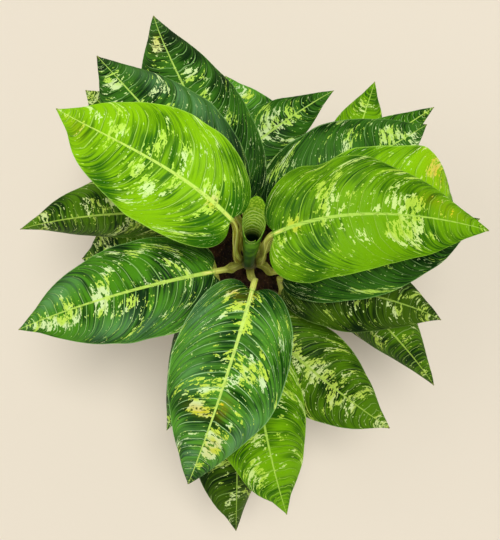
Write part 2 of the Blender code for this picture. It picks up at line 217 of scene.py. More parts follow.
LEAF_7_MARKS = ((0.7, -0.32, 0.1, 0.3, 1.7), (0.86, -0.3, 0.05, 0.3, 1.2), (0.35, -0.3, 0.08, 0.25, 1.2),
                (0.48, 0.2, 0.05, 0.3, 1.2), (0.16, 0.35, 0.04, 0.25, 1.2), (0.57, 0.8, 0.04, 0.15, 0.9),
                (0.22, 0.0, 0.03, 0.12, 1.3), (0.68, 0.4, 0.07, 0.2, 1.1), (0.5, -0.25, 0.04, 0.25, 1.1),
                (0.3, 0.7, 0.04, 0.12, 0.9))
LEAF_7_RUFFLES = ((0.2, -1.0, 0.1, 0.5, 4), (0.72, 1.0, 0.12, 0.5, 2))
# Painted sheen on main leaf 7: pale patches where lamps would glint on its gloss.
LEAF_7_PAINTED_SHEENS = ((0.72, 0.6, 0.14, 0.35, 0.8), (0.42, -0.7, 0.2, 0.3, 0.6), (0.92, 0.0, 0.06, 0.6, 0.6))
LEAF_9_MARKS = ((0.72, -0.3, 0.08, 0.35, 1.3), (0.53, -0.68, 0.05, 0.25, 0.8), (0.15, -0.6, 0.1, 0.3, 0.7),
                (0.85, 0.0, 0.06, 0.3, 0.6))
LEAF_9_RUFFLES = ((0.42, -1.0, 0.16, 0.5, 4),)
RIB_MARKS = ((0.2, 0.0, 0.12, 0.3, 0.8), (0.5, 0.0, 0.15, 0.3, 0.6))

MAIN_LEAVES = [
    Leaf(277, (-18, 41, 385), (-197, 156, 345), 60, -8, -8, 14, 34, -14, 0, 0.75, 0.37, 3, 50,
         "lime", 0.4, 6, LEAF_1_MARKS, LEAF_1_TINTS, LEAF_1_RUFFLES),
    Leaf(264, (23, 27, 385), (243, 32, 345), 60, -12, -2, 12, 30, 24, 14, 0.8, 0.2, 3, -45,
         "fresh", 0.3, 4, LEAF_2_MARKS, LEAF_2_TINTS, LEAF_2_RUFFLES),
    Leaf(242, (66, 50, 347), (217, 62, 297), 59, -4, -12, 20, 84, 8, 8, 0.45, 0.37, 1.1, 0,
         "lime", 0.3, 1.5, LEAF_3_MARKS, LEAF_3_TINTS, LEAF_3_RUFFLES),
    Leaf(176, (-10, 62, 320), (-108, 277, 252), 55, 0, -20, 22, 46, 0, 8, 0.9, 0.37, 1.1, 0,
         "deep_painted_shade", 0.15, 1.5, LEAF_4_MARKS, LEAF_4_TINTS),
    Leaf(204, (-22, 58, 352), (-163, 220, 302), 61, -4, -24, 18, 42, -2, 0, 0.85, 0.37, 1.1, 0,
         "deep_painted_shade", 0.15, 1.5, LEAF_5_MARKS, painted_sheens=LEAF_5_PAINTED_SHEENS),
    Leaf(252, (2, -29, 345), (-69, -246, 260), 61, -6, -6, 20, 52, 3, 3, 1.1, 0.37, 1.1, 0,
         "blue_sheen_painted", 0.3, 1, LEAF_6_MARKS, LEAF_6_TINTS, painted_sheens=LEAF_6_PAINTED_SHEENS),
    Leaf(228, (-39, -10, 325), (-260, -75, 250), 54, -6, -18, 18, 40, -6, -6, 0.8, 0.37, 1.1, 0,
         "deep", 0.3, 2.5, LEAF_7_MARKS, ruffles=LEAF_7_RUFFLES, painted_sheens=LEAF_7_PAINTED_SHEENS),
    Leaf(214, (37, -8, 292), (256, 49, 258), 51, -8, -6, 18, 42, 0, -6, 0.8, 0.37, 1.1, 0, "deep_painted_shade", 0.3, 2.5),
    Leaf(190, (24, 54, 272), (203, 159, 228), 58, -6, -8, 16, 44, -3, -3, 0.7, 0.3, 1.1, 0,
         "deep_painted_shade", 0.5, 1.5, LEAF_9_MARKS, ruffles=LEAF_9_RUFFLES),
]

BACK_LEFT_LEAVES = [
    Leaf(206, (-61, 53, 270), (-266, 39, 220), 48, -58, -20, 18, 40, -8, -8, tone="olive", mottle=0.55),
    Leaf(186, (-40, 95, 254), (97, 200, 217), 34, -6, -6, 18, 36, 4, 4, 0.9, tone="deep_painted_shade", mottle=0.25,
         marks=RIB_MARKS),
    Leaf(162, (-62, 86, 232), (-193, 203, 205), 54, -8, -8, 18, 40, 0, 0, tone="olive", mottle=0.5),
]

BACK_RIGHT_LEAVES = [
    Leaf(188, (92, 54, 240), (148, 215, 195), 37, -8, -8, 18, 40, 2, 2, tone="fresh", mottle=0.4),
    Leaf(170, (57, 74, 243), (217, 184, 200), 34, -8, -8, 18, 40, 0, 0, 1, tone="deep", mottle=0.3),
    Leaf(152, (32, 91, 230), (-29, 223, 190), 45, -8, -8, 18, 40, 0, 0, tone="blue_sheen_painted", mottle=0.5),
]

FRONT_LEFT_LEAVES = [
    Leaf(184, (2, -90, 275), (43, -293, 212), 53, -24, 0, 18, 40, -5, -5, 0.65, tone="fresh", mottle=0.45),
    Leaf(170, (-66, 24, 200), (-207, 6, 152), 52, -8, -8, 18, 50, 0, 0, 0.6, tone="olive", mottle=0.6),
    Leaf(158, (-53, -43, 225), (-103, -206, 150), 42, -8, -56, 18, 50, 0, 0, tone="deep", mottle=0.3),
    Leaf(148, (-12, -135, 220), (-17, -326, 165), 54, -50, 0, 18, 40, 0, 0, tone="dusk", mottle=0.5),
]

FRONT_RIGHT_LEAVES = [
    Leaf(202, (42, -19, 276), (222, -66, 215), 47, -8, -8, 18, 40, 8, 12, 1, tone="dusk", mottle=0.45),
    Leaf(186, (70, 1, 240), (223, -148, 170), 48, -18, -46, 18, 40, 8, 8, 1, tone="olive", mottle=0.4),
    Leaf(170, (13, -70, 248), (167, -197, 185), 50, -10, -8, 18, 40, -4, -4, 0.9, tone="olive", mottle=0.5,
         marks=RIB_MARKS, ruffles=((0.7, 1.0, 0.2, 0.5, 3),)),
]

MAIN_ROUTE = [(0, 0, 75), (0, 0, 130), (1, 2, 200), (-2, 0, 284)]
BACK_LEFT_ROUTE = [(-38, 32, 75), (-38, 32, 130), (-42, 35, 165), (-45, 38, 212)]
BACK_RIGHT_ROUTE = [(32, 26, 75), (32, 26, 130), (40, 34, 165), (44, 42, 192)]
FRONT_LEFT_ROUTE = [(-26, -32, 75), (-26, -32, 130), (-30, -38, 150), (-35, -47, 190)]
FRONT_RIGHT_ROUTE = [(28, -40, 75), (28, -40, 130), (32, -43, 165), (36, -44, 208)]

SHOOTS = [
    Shoot("main", MAIN_ROUTE, 9.5, 7.0, MAIN_LEAVES),
    Shoot("back_left", BACK_LEFT_ROUTE, 7.5, 6.0, BACK_LEFT_LEAVES),
    Shoot("back_right", BACK_RIGHT_ROUTE, 7.5, 6.0, BACK_RIGHT_LEAVES),
    Shoot("front_left", FRONT_LEFT_ROUTE, 7.0, 5.5, FRONT_LEFT_LEAVES),
    Shoot("front_right", FRONT_RIGHT_ROUTE, 7.5, 6.0, FRONT_RIGHT_LEAVES),
]


def screen_colour(red, green, blue_sheen_painted):
    """A colour given as it looks on a screen, from 0 to 255, as the linear colour a shader wants."""
    share = np.array((red, green, blue_sheen_painted)) / 255
    linear = np.where(share <= 0.04045, share / 12.92, ((share + 0.055) / 1.055) ** 2.4)
    return (*(float(value) for value in linear), 1.0)


class Tone(NamedTuple):
    """The colours of a leaf as they look on a screen: its greens, its blotches, its veins and its underside."""

    dark: tuple
    light: tuple
    blotch: tuple
    pale: tuple
    vein: tuple
    rib: tuple
    under: tuple


TONES = {
    "deep": Tone((4, 44, 0), (74, 138, 16), (200, 234, 88), (222, 244, 172), (156, 206, 110), (196, 232, 96),
                 (96, 140, 60)),
    # A darker copy of the deep greens: painted shade for lower leaves that sit under others.
    "deep_painted_shade": Tone((2, 36, 0), (58, 112, 22), (188, 228, 84), (216, 240, 164), (136, 186, 98), (184, 222, 96),
                (88, 130, 58)),
    # Greens whose light colour carries painted sheen, a cool cast where lamps would glint on the gloss.
    "blue_sheen_painted": Tone((4, 54, 0), (86, 150, 38), (206, 236, 80), (222, 246, 180), (172, 220, 140), (208, 240, 110),
                 (100, 146, 76)),
    "olive": Tone((12, 44, 0), (78, 122, 4), (188, 214, 84), (214, 230, 150), (140, 176, 78), (168, 200, 78),
                  (98, 130, 52)),
    "dusk": Tone((6, 30, 0), (60, 92, 4), (176, 204, 80), (206, 224, 146), (120, 154, 68), (152, 184, 72),
                 (86, 116, 48)),
    "fresh": Tone((36, 88, 0), (114, 170, 2), (186, 222, 70), (214, 238, 140), (152, 200, 60), (180, 220, 84),
                  (120, 164, 54)),
    "lime": Tone((44, 104, 0), (140, 200, 4), (198, 240, 84), (222, 250, 162), (176, 226, 84), (208, 242, 104),
                 (140, 184, 62)),
}
LIGHT_TONES = ("lime", "fresh")
AMBER = (232, 196, 8)
# Painted sheen: the pale green mixed into a leaf where lamps would glint on its gloss.
PAINTED_SHEEN = (108, 160, 104)
BROADEST_SHEATH = 6
TIP_BROWN = (116, 104, 34)


def unit(vectors):
    return vectors / np.linalg.norm(vectors, axis=-1, keepdims=True)


def ease(t):
    t = np.clip(t, 0.0, 1.0)
    return t * t * (3 - 2 * t)


def bezier(points, t):
    """The points at each t on a cubic curve with four control points."""
    a, b, c, d = points
    t = np.asarray(t)[..., None]
    s = 1 - t
    return a * s**3 + b * (3 * s * s * t) + c * (3 * s * t * t) + d * t**3


def bezier_slope(points, t):
    a, b, c, d = points
    t = np.asarray(t)[..., None]
    s = 1 - t
    return unit((b - a) * (3 * s * s) + (c - b) * (6 * s * t) + (d - c) * (3 * t * t))


def level_side(slope):
    """The level direction to the right of a slope."""
    return unit(np.cross(slope, UP))


def smooth_wave(place, seed, terms=3):
    """A smooth, irregular wave of about unit height along a line, different for each seed."""
    wave = 0
    for i in range(terms):
        wave = wave + np.sin(place * (1.0 + 0.73 * i) * tau + seed * (2.1 + i)) / (1 + i)
    return wave / 1.5


def base_outline(u, widest):
    """The rounded base of the blade: from 0 at the joint to 1 where the blade is widest."""
    return (1 - (1 - np.minimum(u / widest, 1.0)) ** BASE_FULLNESS) ** (1 / BASE_FULLNESS)


def outline(leaf, u):
    """How wide the blade is at u, from 0 at its base to 1 at its tip, as a share of its widest."""
    closing = np.clip((u - leaf.widest) / (SHOULDER - leaf.widest), 0.0, 1.0)
    body = np.maximum(np.cos(pi / 2 * closing), 0.0) ** leaf.taper
    tail = TAIL * (1 - u) * ease(closing)
    return np.where(u < leaf.widest, base_outline(u, leaf.widest), (body**3 + tail**3) ** (1 / 3))


def lobe_shift(leaf, u):
    """How far the margin lies behind the midrib at u, where the blade's base bulges back beside the stalk."""
    share = base_outline(u, leaf.widest)
    return LOBE * 4 * share * (1 - share)


def half_section(tilt, size):
    """Points on one half of the blade's cross-section, as shares of its width: how far out and how far up."""
    start = tilt + HALF_ARCH
    end = start - 2 * HALF_ARCH * size
    across = (np.sin(start) - np.sin(end)) / (2 * HALF_ARCH)
    upward = (np.cos(end) - np.cos(start)) / (2 * HALF_ARCH)
    return across, upward


def midrib_curve(leaf):
    """The control points of the midrib's curve, in metres."""
    joint = np.array(leaf.joint) * MM
    tip = np.array(leaf.tip) * MM
    reach = tip - joint
    heading = np.arctan2(reach[1], reach[0])
    handle = np.linalg.norm(reach) / 3

    def direction(turn, lift):
        level = np.array((np.cos(heading + turn), np.sin(heading + turn), 0.0))
        return level * np.cos(lift) + UP * np.sin(lift)

    start = direction(radians(leaf.bow), radians(leaf.rise))
    end = direction(-radians(leaf.hook), -radians(leaf.droop))
    return joint, joint + start * handle, tip - end * handle, tip


def cane_at(shoot, height):
    """The middle of a cane at a height, and its radius there, in metres."""
    route = np.array(shoot.route) * MM
    height = height * MM
    i = min(max(np.searchsorted(route[:, 2], height) - 1, 0), len(route) - 2)
    share = (height - route[i, 2]) / (route[i + 1, 2] - route[i, 2])
    along = (i + share) / (len(route) - 1)
    radius = shoot.foot_radius + (shoot.top_radius - shoot.foot_radius) * along
    return route[i] + (route[i + 1] - route[i]) * share, radius * MM


def stalk_foot(leaf, shoot):
    """Where the stalk begins, a gap short of the cane, and the level direction it sets out in."""
    middle, _ = cane_at(shoot, leaf.height)
    outward = (np.array(leaf.joint) * MM - middle) * (1, 1, 0)
    heading = np.arctan2(outward[1], outward[0]) + radians(leaf.turn)
    outward = np.array((np.cos(heading), np.sin(heading), 0.0))
    stand_off = 0
    for height in (leaf.height - FOOT_HALF_DEPTH / MM, leaf.height, leaf.height + FOOT_HALF_DEPTH / MM):
        place, radius = cane_at(shoot, height)
        stand_off = max(stand_off, (place - middle) @ outward + radius)
    return middle + outward * (stand_off + GAP), outward


def ring_columns():
    """The places around a ring: from -1 at the left edge over the top to 1, then back below."""
    top = np.linspace(-1, 1, COLUMNS + 1)
    return np.concatenate((top, top[-2:0:-1])), np.concatenate((np.zeros(COLUMNS + 1), np.ones(COLUMNS - 1)))


def stalk_ring_points(centre, side, normal, half_width, half_depth, channel, column, under):
    """Rings of the stalk. Where channel is above 0 the top is hollow and the edges stand up like wings."""
    angle = pi * (1 - column) / 2 * np.where(under > 0, -1, 1)
    out = np.cos(angle)
    up = np.sin(angle) * half_depth
    up = np.where(under > 0, up, up * (1 - 1.3 * channel)) + channel * 0.5 * half_width * out**2
    up = up + STALK_RIDGE_HEIGHT * np.cos(STALK_RIDGES * pi * column)
    return centre[:, None] + side[:, None] * (half_width * out)[..., None] + normal[:, None] * up[..., None]


def stalk_points(leaf, shoot, blade_curve, column, under):
    """The rings of the stalk, from its foot to just short of the blade's joint."""
    foot, outward = stalk_foot(leaf, shoot)
    joint, blade_start = blade_curve[0], bezier_slope(blade_curve, 0.0)
    reach = np.linalg.norm(joint - foot)
    foot_handle = foot + unit(outward + UP * leaf.lift) * reach * FOOT_HANDLE
    arrival = unit(blade_start + UP * (leaf.lift - 1) * ARRIVAL_LIFT)
    curve = (foot, foot_handle, joint - arrival * reach * JOINT_HANDLE, joint)
    t = np.arange(STALK_ROWS) / STALK_ROWS
    turned = ease(t / TURN_UP_BY)[:, None]
    slope = unit(outward * (1 - turned) + bezier_slope(curve, t) * turned)
    turn = ease(t)[:, None]
    side = level_side(outward) * (1 - turn) + level_side(blade_start) * turn
    side = unit(side - slope * (side * slope).sum(axis=1, keepdims=True))
    normal = np.cross(side, slope)
    flare = ((1 - t) ** 3)[:, None]
    wing = (np.sin(pi * np.clip(t / 0.8, 0, 1)) ** 1.5)[:, None]
    half_width = STALK_HALF_WIDTH + (FOOT_HALF_WIDTH - STALK_HALF_WIDTH) * flare + leaf.sheath * MM * wing
    half_depth = STALK_HALF_DEPTH + (FOOT_HALF_DEPTH - STALK_HALF_DEPTH) * flare - 0.0012 * wing
    channel = wing * min(leaf.sheath / 3, 1.0)
    return stalk_ring_points(bezier(curve, t), side, normal, half_width, half_depth, channel, column, under)


def blade_points(leaf, seed, curve, u, column, under):
    """The blade's rings with their relief, and the attributes that the leaf's material reads."""
    length = np.linalg.norm(curve[3] - curve[0])
    centre = bezier(curve, u)
    slope = bezier_slope(curve, u)
    side = level_side(unit(curve[3] - curve[0]) * (1 - TURN_SHARE) + slope * TURN_SHARE)
    normal = unit(np.cross(side, slope))
    u = u[:, None]
    t = np.sign(column) * np.abs(column) ** COLUMN_CROWDING
    size = np.abs(t)
    half = np.sign(t)
    across, upward = half_section(np.radians(np.where(t > 0, leaf.right, leaf.left)), size)
    ragged = 1 + RAGGEDNESS * smooth_wave(3.1 * u, seed + half)
    width = np.maximum(leaf.half_width * MM * outline(leaf, u) * ragged, TIP_HALF_WIDTH)
    lateral = width * size
    ruffle = patches(leaf.ruffles, u, t) * MM * size**2

    sweep = VEIN_RISE * size + VEIN_SWEEP * size**VEIN_CURVE
    vein = (u - sweep) / (1 - sweep)
    phase = vein * length / VEIN_SPACING + 0.5 * (t < 0)
    phase = phase + 0.35 * smooth_wave(2.3 * vein, seed + 2 * half) + 0.06 * smooth_wave(1.7 * size, seed)
    open_part = ease(u / 0.04) * (1 - 0.8 * ease((u - 0.8) / 0.2))
    body_part = ease(lateral / 0.006) * (1 - 0.6 * ease((size - 0.7) / 0.3))
    pleat = (np.abs(np.sin(pi * phase)) ** 0.8 - 0.6) * PLEAT_HEIGHT * open_part * body_part
    wave = MARGIN_WAVE * size**3 * smooth_wave(1.9 * u, 3 * seed + 2 * half) * ease(u / 0.1) * (1 - u) ** 0.4
    rib = RIB_HEIGHT * (1 - 0.8 * u) * np.exp(-((lateral / RIB_REACH) ** 2))
    trough = TROUGH_DEPTH * (1 - u) * np.exp(-((lateral / TROUGH_REACH) ** 2))
    plate = np.minimum(PLATE_THICKNESS, width) * (0.35 + 0.65 * (1 - size**4))
    keel = np.minimum(MIDRIB_THICKNESS * (1 - u), width) * np.exp(-((lateral / 0.0022) ** 2))
    surface = np.where(under > 0, -plate - keel, rib)
    rise = width * upward + pleat + wave + ruffle - trough + surface
    out = (width * across + ruffle) * half
    back = lobe_shift(leaf, u) * length * size**LOBE_CURVE
    points = centre[:, None] + side[:, None] * out[..., None] + normal[:, None] * rise[..., None]
    points = points - slope[:, None] * back[..., None]

    full = np.ones_like(u)
    neck = stalk_ring_points(
        centre, side, normal, full * STALK_HALF_WIDTH, full * STALK_HALF_DEPTH, 0.0, column, under
    )
    opened = np.maximum(ease((width - STALK_HALF_WIDTH * 0.8) / 0.012), ease((u - 0.05) / 0.05))[..., None]
    return neck * (1 - opened) + points * opened, {
        "vein": vein * length,
        "lateral": lateral * half,
        "run": np.hypot(lateral, sweep * length * (1 - u)) * half,
        "phase": phase,
        "size": size + 0 * u,
        "boost": patches(leaf.marks, u, t),
        "tint": patches(leaf.tints, u, t),
        # Painted sheen: how strongly each point takes the pale sheen colour.
        "painted_sheen": patches(leaf.painted_sheens, u, t),
    }


def patches(places, u, t):
    """How strongly each point lies in one of the patches at (along, across, length, width, strength)."""
    total = 0 * u * t
    for along, across, length, width, strength in places:
        total = total + strength * np.exp(-(((u - along) / length) ** 2) - ((t - across) / width) ** 2)
    return total


def ring_mesh(name, points):
    """A closed mesh through rings of points, each joined to the next. Edges that fold sharply stay crisp."""
    rows, count = points.shape[:2]
    j = np.arange(count)
    k = (j + 1) % count
    i = np.arange(rows - 1)[:, None] * count
    faces = np.stack((i + j, i + k, i + count + k, i + count + j), axis=-1).reshape(-1, 4).tolist()
    faces.append(list(reversed(range(count))))
    faces.append(list(range((rows - 1) * count, rows * count)))
    mesh = bpy.data.meshes.new(name)
    mesh.from_pydata(points.reshape(-1, 3).tolist(), [], faces)
    mesh.shade_smooth()
    mesh.set_sharp_from_angle(angle=CRISP_FOLD)
    return mesh


def add_attribute(mesh, name, values):
    attribute = mesh.attributes.new(name, "FLOAT", "POINT")
    attribute.data.foreach_set("value", np.ascontiguousarray(values, np.float32).ravel())


def add_piece(name, mesh, material, node):
    """Shows a mesh in place of a node of the part."""
    piece = bpy.data.objects.new(name, mesh)
    mesh.materials.append(material)
    bpy.context.scene.collection.objects.link(piece)
    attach(piece, "root")
    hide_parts(node)
    return piece


class Graph:
    """A material and short ways to add to its nodes. A value is a number, a colour or another node's output."""

    def __init__(self, name):
        self.material = bpy.data.materials.new(name)
        self.material.use_nodes = True
        self.tree = self.material.node_tree
        self.shader = self.tree.nodes["Principled BSDF"]

    def put(self, socket, value):
        if isinstance(value, bpy.types.NodeSocket):
            self.tree.links.new(value, socket)
        else:
            socket.default_value = value

    def set(self, name, value):
        self.put(self.shader.inputs[name], value)

    def attribute(self, name):
        node = self.tree.nodes.new("ShaderNodeAttribute")
        node.attribute_name = name
        return node.outputs["Fac"]

    def position(self):
        return self.tree.nodes.new("ShaderNodeTexCoord").outputs["Object"]

    def math(self, operation, a, b=0.0):
        node = self.tree.nodes.new("ShaderNodeMath")
        node.operation = operation
        self.put(node.inputs[0], a)
        self.put(node.inputs[1], b)
        return node.outputs[0]

    def vector(self, x, y, z=0.0):
        node = self.tree.nodes.new("ShaderNodeCombineXYZ")
        for socket, value in zip(node.inputs, (x, y, z)):
            self.put(socket, value)
        return node.outputs[0]

    def noise(self, vector, scale, detail=3.0, roughness=0.55, distortion=0.0):
        node = self.tree.nodes.new("ShaderNodeTexNoise")
        self.put(node.inputs["Vector"], vector)
        self.put(node.inputs["Scale"], scale)
        self.put(node.inputs["Detail"], detail)
        self.put(node.inputs["Roughness"], roughness)
        self.put(node.inputs["Distortion"], distortion)
        return node.outputs["Fac"]

    def step(self, value, low, high):
        """0 below low, 1 above high and smooth between them."""
        node = self.tree.nodes.new("ShaderNodeMapRange")
        node.interpolation_type = "SMOOTHSTEP"
        self.put(node.inputs["Value"], value)
        self.put(node.inputs["From Min"], low)
        self.put(node.inputs["From Max"], high)
        return node.outputs["Result"]

    def add(self, a, b):
        return self.math("ADD", a, b)

    def times(self, a, b):
        return self.math("MULTIPLY", a, b)

    def less(self, value):
        """What is left of 1."""
        return self.math("SUBTRACT", 1.0, value)

    def mix(self, amount, a, b):
        """A colour part of the way from a to b."""
        node = self.tree.nodes.new("ShaderNodeMix")
        node.data_type = "RGBA"
        for socket, value in zip((node.inputs[0], node.inputs[6], node.inputs[7]), (amount, a, b)):
            self.put(socket, value)
        return node.outputs[2]

    def bump(self, height, distance):
        node = self.tree.nodes.new("ShaderNodeBump")
        self.put(node.inputs["Height"], height)
        self.put(node.inputs["Distance"], distance)
        self.put(self.shader.inputs["Normal"], node.outputs["Normal"])


def blade_noise(graph, across_veins, along_veins, seed, detail=2.0, distortion=0.0):
    """Noise in a leaf's own veins: its cells, in numbers a metre, are drawn out along the veins and end at them."""
    cell = graph.times(graph.math("FLOOR", graph.attribute("phase")), CELL_SHIFT)
    place = graph.vector(
        graph.times(graph.attribute("vein"), across_veins),
        graph.times(graph.attribute("run"), along_veins),
        graph.add(cell, seed),
    )
    return graph.noise(place, 1.0, detail, 0.55, distortion)


def blade_greens(graph, tone, seed, painted_fold_shade):
    """Two greens in fine streaks along the veins and in soft clouds, with painted shade near the base and in vein
    folds.
    """
    streaks = blade_noise(graph, 320, 26, seed)
    clouds = graph.noise(graph.position(), 22.0, 1.0)
    level = graph.add(graph.times(streaks, 0.45), graph.times(clouds, 0.55))
    # Painted shade: the greens stay darker over the first 0.4 of the blade, where upper leaves shade its base.
    level = graph.add(level, graph.times(graph.step(graph.attribute("along"), 0.0, 0.4), 0.06))
    turn = graph.math("FRACT", graph.attribute("phase"))
    off_vein = graph.math("ABSOLUTE", graph.math("SUBTRACT", turn, 0.5))
    # Painted shade: the greens darken near each vein, in the fold that the vein lies in.
    level = graph.math("SUBTRACT", level, graph.times(graph.step(off_vein, 0.25, 0.45), painted_fold_shade))
    return graph.mix(graph.step(level, 0.41, 0.64), screen_colour(*tone.dark), screen_colour(*tone.light)), off_vein


def vein_lines(graph, off_vein, seed):
    """How strongly the thin pale line of each vein shows."""
    line = graph.step(off_vein, 0.43, 0.475)
    broken = graph.step(blade_noise(graph, 60, 30, seed + 9), 0.38, 0.52)
    inside = graph.less(graph.step(graph.attribute("size"), 0.6, 0.95))
    return graph.times(graph.times(line, broken), inside)


def blotches(graph, mottle, seed):
    """Where the blade is pale: flakes along the veins, in clusters that keep near the midrib."""
    flakes = blade_noise(graph, 290, 120, seed + 13, 2.0, 0.3)
    crumbs = blade_noise(graph, 760, 420, seed + 17, 1.0)
    clusters = blade_noise(graph, 34, 26, seed + 21, 1.0)
    near_rib = graph.less(graph.step(graph.attribute("size"), 0.1, 0.95))
    density = graph.add(clusters, graph.times(near_rib, 0.06))
    density = graph.add(density, graph.times(graph.attribute("boost"), 0.16))
    density = graph.step(density, 0.58 - 0.18 * mottle, 0.8 - 0.18 * mottle)
    level = graph.add(graph.times(flakes, 0.66), graph.times(crumbs, 0.34))
    level = graph.add(level, graph.times(density, 0.15))
    level = graph.add(level, graph.times(graph.attribute("boost"), 0.03))
    return graph.step(level, 0.635, 0.655)


def stalk_colour(graph, seed, sheath):
    """The cream and green of a stalk, streaked along its length, with olive wings where its sheath is broad."""
    around = graph.attribute("round")
    place = graph.vector(graph.times(around, 9.0), graph.times(graph.attribute("climb"), 3.0), seed)
    streaks = graph.noise(place, 1.0)
    green = graph.mix(graph.step(streaks, 0.35, 0.65), screen_colour(200, 212, 66), screen_colour(250, 250, 150))
    out = graph.math("ABSOLUTE", around)
    wing = graph.times(graph.step(out, 0.12, 0.3), graph.less(graph.step(out, 0.78, 0.92)))
    wing = graph.times(wing, graph.step(streaks, 0.3, 0.55))
    colour = graph.mix(graph.times(wing, min(sheath / BROADEST_SHEATH, 1.0)), green, screen_colour(140, 126, 30))
    foot = graph.less(graph.step(graph.attribute("climb"), 0.0, 0.2))
    return graph.mix(graph.times(foot, 0.7), colour, screen_colour(150, 148, 60))


def leaf_material(name, leaf, seed):
    """A leaf's skin: two greens, pale veins and blotches, warm patches, midrib, underside and stalk."""
    tone = TONES[leaf.tone]
    graph = Graph(name)
    lateral, size, along = (graph.attribute(key) for key in ("lateral", "size", "along"))
    painted_fold_shade = 0.02 if leaf.tone in LIGHT_TONES else 0.06
    colour, off_vein = blade_greens(graph, tone, seed, painted_fold_shade)
    lines = vein_lines(graph, off_vein, seed)
    # Painted sheen: pale green mixed into the greens in streaky patches, at most half way.
    painted_sheen = graph.times(graph.attribute("painted_sheen"), graph.step(blade_noise(graph, 90, 14, seed + 35), 0.25, 0.75))
    colour = graph.mix(graph.math("MINIMUM", painted_sheen, 0.5), colour, screen_colour(*PAINTED_SHEEN))
    colour = graph.mix(graph.times(lines, 0.85), colour, screen_colour(*tone.vein))

    spots = blotches(graph, leaf.mottle, seed)
    bleached = graph.step(blade_noise(graph, 60, 40, seed + 25), 0.45, 0.6)
    spot_colour = graph.mix(bleached, screen_colour(*tone.blotch), screen_colour(*tone.pale))
    warm = graph.math("MINIMUM", graph.attribute("tint"), 1.0)
    spot_colour = graph.mix(warm, spot_colour, screen_colour(*AMBER))
    colour = graph.mix(graph.times(warm, 0.12), colour, screen_colour(*AMBER))
    colour = graph.mix(graph.times(spots, 0.92), colour, spot_colour)

    rib_width = graph.times(graph.math("SUBTRACT", 1.1, along), 0.0024)
    from_rib = graph.math("DIVIDE", graph.math("ABSOLUTE", lateral), rib_width)
    rib = graph.less(graph.step(from_rib, 0.55, 1.0))
    colour = graph.mix(graph.times(rib, 0.9), colour, screen_colour(*tone.rib))
    colour = graph.mix(graph.times(graph.step(size, 0.975, 0.99), 0.45), colour, screen_colour(*tone.vein))
    colour = graph.mix(graph.times(graph.step(along, 0.965, 1.0), 0.6), colour, screen_colour(*TIP_BROWN))

    under_colour = graph.mix(graph.times(spots, 0.5), screen_colour(*tone.under), screen_colour(*tone.pale))
    colour = graph.mix(graph.times(graph.attribute("under"), 0.9), colour, under_colour)
    colour = graph.mix(graph.attribute("stalk"), colour, stalk_colour(graph, seed, leaf.sheath))
    grain = blade_noise(graph, 700, 200, seed + 31)
    graph.set("Base Color", colour)
    graph.set("Roughness", graph.add(0.3, graph.times(grain, 0.22)))
    graph.set("Specular IOR Level", 0.06)
    graph.bump(graph.add(grain, graph.times(lines, -0.8)), 0.0006)
    return graph.material


def make_leaf(name, leaf, shoot, seed):
    """One leaf: stalk and blade in one closed mesh."""
    column, under = ring_columns()
    curve = midrib_curve(leaf)
    u = (np.arange(1, ROWS + 1) / ROWS) ** ROW_CROWDING
    stalk = stalk_points(leaf, shoot, curve, column, under)
    blade, values = blade_points(leaf, seed, curve, u, column, under)
    mesh = ring_mesh(name, np.concatenate((stalk, blade)))
    for key, value in values.items():
        on_stalk = np.zeros((STALK_ROWS, len(column)))
        add_attribute(mesh, key, np.concatenate((on_stalk, value)))
    climb = np.linspace(0, 1, STALK_ROWS)[:, None] + 0 * column
    blank = np.ones((ROWS, len(column)))
    on_stalk = 1 - ease((u - 0.01) / 0.05)[:, None] * ease(np.abs(column) / 0.3 + (u[:, None] - 0.01) / 0.05)
    on_stalk = np.where(values["size"] * leaf.half_width * MM > STALK_HALF_WIDTH, 0, np.minimum(on_stalk, 1))
    add_attribute(mesh, "along", np.concatenate((0 * climb, u[:, None] * blank)))
    add_attribute(mesh, "climb", np.concatenate((climb, blank)))
    add_attribute(mesh, "stalk", np.concatenate((1 + 0 * climb, on_stalk)))
    add_attribute(mesh, "round", np.tile(column, (STALK_ROWS + ROWS, 1)))
    add_attribute(mesh, "under", np.tile(under, (STALK_ROWS + ROWS, 1)))
    add_piece(name + "_look", mesh, leaf_material(name + "_skin", leaf, seed), name)


def roll_material():
    """Rolled leaf: pale rings inside, light green at the mouth, green outside, and painted shade in its depth and
    at its foot.
    """
    graph = Graph("roll_skin")
    reach = graph.attribute("reach")
    wobble = graph.noise(graph.position(), 60.0, 2.0)
    flecks = graph.noise(graph.position(), 420.0, 2.0)
    ring = graph.math("FRACT", graph.add(graph.times(reach, 190.0), graph.times(wobble, 2.0)))
    line = graph.step(graph.math("ABSOLUTE", graph.math("SUBTRACT", ring, 0.5)), 0.24, 0.4)
    line = graph.times(line, graph.less(graph.step(reach, 0.086, 0.1)))
    mouth = graph.mix(graph.step(flecks, 0.45, 0.62), screen_colour(120, 172, 14), screen_colour(186, 222, 60))
    inner = graph.mix(graph.times(line, 0.9), mouth, screen_colour(222, 246, 130))
    # Painted shade: below 44 to 68 mm of reach the inside turns almost black-green, as deep in the roll.
    inner = graph.mix(graph.step(reach, 0.044, 0.068), screen_colour(8, 28, 4), inner)
    outer = graph.mix(graph.step(wobble, 0.35, 0.65), screen_colour(30, 84, 8), screen_colour(104, 160, 30))
    # Painted shade: the outside darkens towards the foot, where it stands among the stalks.
    outer = graph.mix(graph.step(reach, 0.004, 0.04), screen_colour(26, 66, 8), outer)
    graph.set("Base Color", graph.mix(graph.attribute("inside"), outer, inner))
    graph.set("Roughness", graph.add(0.36, graph.times(wobble, 0.16)))
    graph.set("Specular IOR Level", 0.15)
    return graph.material


